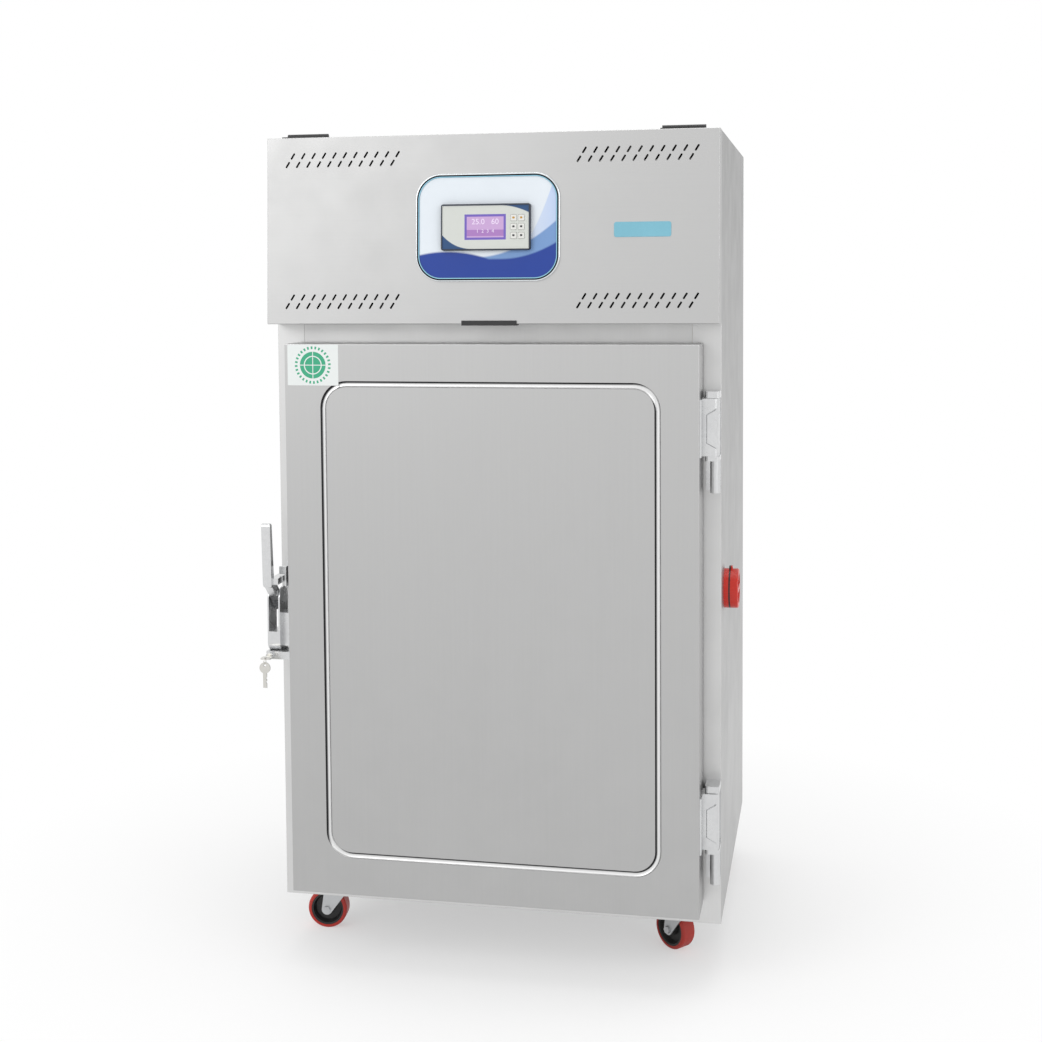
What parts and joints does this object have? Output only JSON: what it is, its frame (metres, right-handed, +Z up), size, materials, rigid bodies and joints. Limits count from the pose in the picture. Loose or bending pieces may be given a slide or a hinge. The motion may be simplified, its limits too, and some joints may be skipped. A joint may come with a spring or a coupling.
{
  "type": "environmental test chamber",
  "caption": "Insulated upright cabinet on castors that holds samples at set temperature and humidity, with a hinged door, side port and lift-up control fascia",
  "frame": {"origin": "centre of the bounding box at the floor, where the castor wheels stand", "axes": "+X to the right seen from the front, +Y from the front to the back, +Z up"},
  "size_m": [0.8345, 0.7776, 1.4973],
  "materials": {
    "casing_steel": "satin stainless sheet",
    "front_steel": "satin stainless sheet",
    "back_steel": "plated sheet",
    "stainless": "brushed stainless sheet",
    "foam": null,
    "zinc_steel": "zinc plated sheet",
    "shelf_steel": "polished stainless wire",
    "coil_aluminium": "aluminium fins",
    "motor_paint": "grey paint",
    "pot_paint": "black paint",
    "tank_plastic": "milky moulding",
    "gear_plastic": "modules on a plated tray",
    "port_red": "red moulding",
    "spigot_steel": "stainless tube",
    "inlet_plastic": "black moulding",
    "latch_chrome": "dull chrome",
    "hinge_chrome": "dull chrome",
    "castor_zinc": "zinc plated pressings",
    "fan_plastic": "black moulding",
    "cap_red": "red moulding with a black band",
    "fascia_steel": "satin stainless sheet",
    "pull_plastic": "black",
    "bezel_chrome": "bright trim with a dark inner edge",
    "panel_plastic": "printed panel with blue sweeps",
    "controller_plastic": "light grey moulding",
    "window_plastic": "lilac lit display",
    "door_steel": "satin stainless sheet",
    "seal_rubber": "soft silicone rubber",
    "key_steel": "nickel plated",
    "key_plastic": "light keys",
    "wheel_core": "black nylon",
    "tread_rubber": "red polyurethane"
  },
  "bodies": {
    "cabinet": {"outer_casing": "casing_steel", "back_panel": "back_steel", "front_frame": "front_steel", "inner_liner": "stainless", "cabinet_insulation": "foam", "machine_deck": "zinc_steel", "base_frame": "zinc_steel", "shelf_runners": "stainless", "wire_shelves": "shelf_steel", "air_duct_panel": "stainless", "evaporator_coil": "coil_aluminium", "fan_motors": "motor_paint", "compressor": "pot_paint", "condenser_coil": "coil_aluminium", "humidifier_tank": "tank_plastic", "control_gear_tray": "gear_plastic", "port_sleeve": "port_red", "drain_spigot": "spigot_steel", "power_inlet": "inlet_plastic", "latch_keeper": "latch_chrome", "hinge_frame_leaves": "hinge_chrome", "fascia_hinge_fixed_leaves": "hinge_chrome", "castor_top_plates": "castor_zinc"},
    "circulation_fan": {"circulation_fan_rotor": "fan_plastic"},
    "condenser_fan": {"condenser_fan_rotor": "fan_plastic"},
    "side_port_cap": {"port_cap": "cap_red"},
    "door": {"door_skin": "door_steel", "door_liner": "stainless", "door_insulation": "foam", "door_gasket": "seal_rubber", "hinge_door_leaves": "hinge_chrome", "latch_body": "latch_chrome"},
    "lever": {"latch_lever": "latch_chrome"},
    "door_key": {"lock_key": "key_steel"},
    "spare": {"spare_key": "key_steel"},
    "fascia": {"fascia_panel": "fascia_steel", "fascia_hinge_moving_leaves": "hinge_chrome", "fascia_pull": "pull_plastic", "control_bezel": "bezel_chrome", "control_plate": "panel_plastic", "controller_case": "controller_plastic", "display_window": "window_plastic"},
    "key_1_1_cap": {"key_1_1": "key_plastic"},
    "key_1_2_cap": {"key_1_2": "key_plastic"},
    "key_1_3_cap": {"key_1_3": "key_plastic"},
    "key_2_1_cap": {"key_2_1": "key_plastic"},
    "key_2_2_cap": {"key_2_2": "key_plastic"},
    "key_2_3_cap": {"key_2_3": "key_plastic"},
    "castor_front_left": {"castor_fork_front_left": "castor_zinc"},
    "wheel_front_left": {"castor_wheel_front_left": "wheel_core", "castor_tread_front_left": "tread_rubber"},
    "castor_front_right": {"castor_fork_front_right": "castor_zinc"},
    "wheel_front_right": {"castor_wheel_front_right": "wheel_core", "castor_tread_front_right": "tread_rubber"},
    "castor_rear_left": {"castor_fork_rear_left": "castor_zinc"},
    "wheel_rear_left": {"castor_wheel_rear_left": "wheel_core", "castor_tread_rear_left": "tread_rubber"},
    "castor_rear_right": {"castor_fork_rear_right": "castor_zinc"},
    "wheel_rear_right": {"castor_wheel_rear_right": "wheel_core", "castor_tread_rear_right": "tread_rubber"}
  },
  "joints": [
    {"name": "door_swing", "type": "hinge", "parent": "cabinet", "child": "door", "pos_m": [0.384, -0.315, 0.6], "axis": [0, 0, 1], "range_deg": [0, 120]},
    {"name": "latch_pull", "type": "hinge", "parent": "door", "child": "lever", "pos_m": [-0.4015, -0.313, 0.65], "axis": [1, 0, 0], "range_deg": [0, 45], "stiffness_Nm_per_rad": 1, "springref_deg": -28.65},
    {"name": "lock_turn", "type": "hinge", "parent": "door", "child": "door_key", "pos_m": [-0.407, -0.347, 0.5655], "axis": [0, 1, 0], "range_deg": [0, 90]},
    {"name": "spare_key_swing", "type": "hinge", "parent": "door_key", "child": "spare", "pos_m": [-0.407, -0.377, 0.5676], "axis": [0, 1, 0], "range_deg": [-15, 15]},
    {"name": "fascia_lift", "type": "hinge", "parent": "cabinet", "child": "fascia", "pos_m": [-0.0075, -0.28575, 1.4928], "axis": [-1, 0, 0], "range_deg": [0, 110]},
    {"name": "key_1_1_press", "type": "slide", "parent": "fascia", "child": "key_1_1_cap", "axis": [0, 0.9988, -0.0486], "range_m": [0, 0.0008], "stiffness_N_per_m": 400, "springref_m": -0.0005},
    {"name": "key_1_2_press", "type": "slide", "parent": "fascia", "child": "key_1_2_cap", "axis": [0, 0.9988, -0.0486], "range_m": [0, 0.0008], "stiffness_N_per_m": 400, "springref_m": -0.0005},
    {"name": "key_1_3_press", "type": "slide", "parent": "fascia", "child": "key_1_3_cap", "axis": [0, 0.9988, -0.0486], "range_m": [0, 0.0008], "stiffness_N_per_m": 400, "springref_m": -0.0005},
    {"name": "key_2_1_press", "type": "slide", "parent": "fascia", "child": "key_2_1_cap", "axis": [0, 0.9988, -0.0486], "range_m": [0, 0.0008], "stiffness_N_per_m": 400, "springref_m": -0.0005},
    {"name": "key_2_2_press", "type": "slide", "parent": "fascia", "child": "key_2_2_cap", "axis": [0, 0.9988, -0.0486], "range_m": [0, 0.0008], "stiffness_N_per_m": 400, "springref_m": -0.0005},
    {"name": "key_2_3_press", "type": "slide", "parent": "fascia", "child": "key_2_3_cap", "axis": [0, 0.9988, -0.0486], "range_m": [0, 0.0008], "stiffness_N_per_m": 400, "springref_m": -0.0005},
    {"name": "swivel_front_left", "type": "hinge", "parent": "cabinet", "child": "castor_front_left", "pos_m": [-0.3355, -0.172, 0.09], "axis": [0, 0, 1], "continuous": true},
    {"name": "roll_front_left", "type": "hinge", "parent": "castor_front_left", "child": "wheel_front_left", "pos_m": [-0.36341, -0.1742, 0.0375], "axis": [0.0785, -0.9969, 0], "continuous": true},
    {"name": "swivel_front_right", "type": "hinge", "parent": "cabinet", "child": "castor_front_right", "pos_m": [0.3205, -0.172, 0.09], "axis": [0, 0, 1], "continuous": true},
    {"name": "roll_front_right", "type": "hinge", "parent": "castor_front_right", "child": "wheel_front_right", "pos_m": [0.29915, -0.15389, 0.0375], "axis": [-0.6468, -0.7627, 0], "continuous": true},
    {"name": "swivel_rear_left", "type": "hinge", "parent": "cabinet", "child": "castor_rear_left", "pos_m": [-0.3355, 0.252, 0.09], "axis": [0, 0, 1], "continuous": true},
    {"name": "roll_rear_left", "type": "hinge", "parent": "castor_rear_left", "child": "wheel_rear_left", "pos_m": [-0.36022, 0.26515, 0.0375], "axis": [-0.4695, -0.8829, 0], "continuous": true},
    {"name": "swivel_rear_right", "type": "hinge", "parent": "cabinet", "child": "castor_rear_right", "pos_m": [0.3205, 0.252, 0.09], "axis": [0, 0, 1], "continuous": true},
    {"name": "roll_rear_right", "type": "hinge", "parent": "castor_rear_right", "child": "wheel_rear_right", "pos_m": [0.29333, 0.25877, 0.0375], "axis": [-0.2419, -0.9703, 0], "continuous": true},
    {"name": "circulation_fan_spin", "type": "hinge", "parent": "cabinet", "child": "circulation_fan", "pos_m": [-0.0075, 0.249, 0.9], "axis": [0, 1, 0], "continuous": true},
    {"name": "condenser_fan_spin", "type": "hinge", "parent": "cabinet", "child": "condenser_fan", "pos_m": [-0.0075, 0.2658, 1.289], "axis": [0, 1, 0], "continuous": true},
    {"name": "port_cap_pull", "type": "slide", "parent": "cabinet", "child": "side_port_cap", "axis": [1, 0, 0], "range_m": [0, 0.06]}
  ]
}
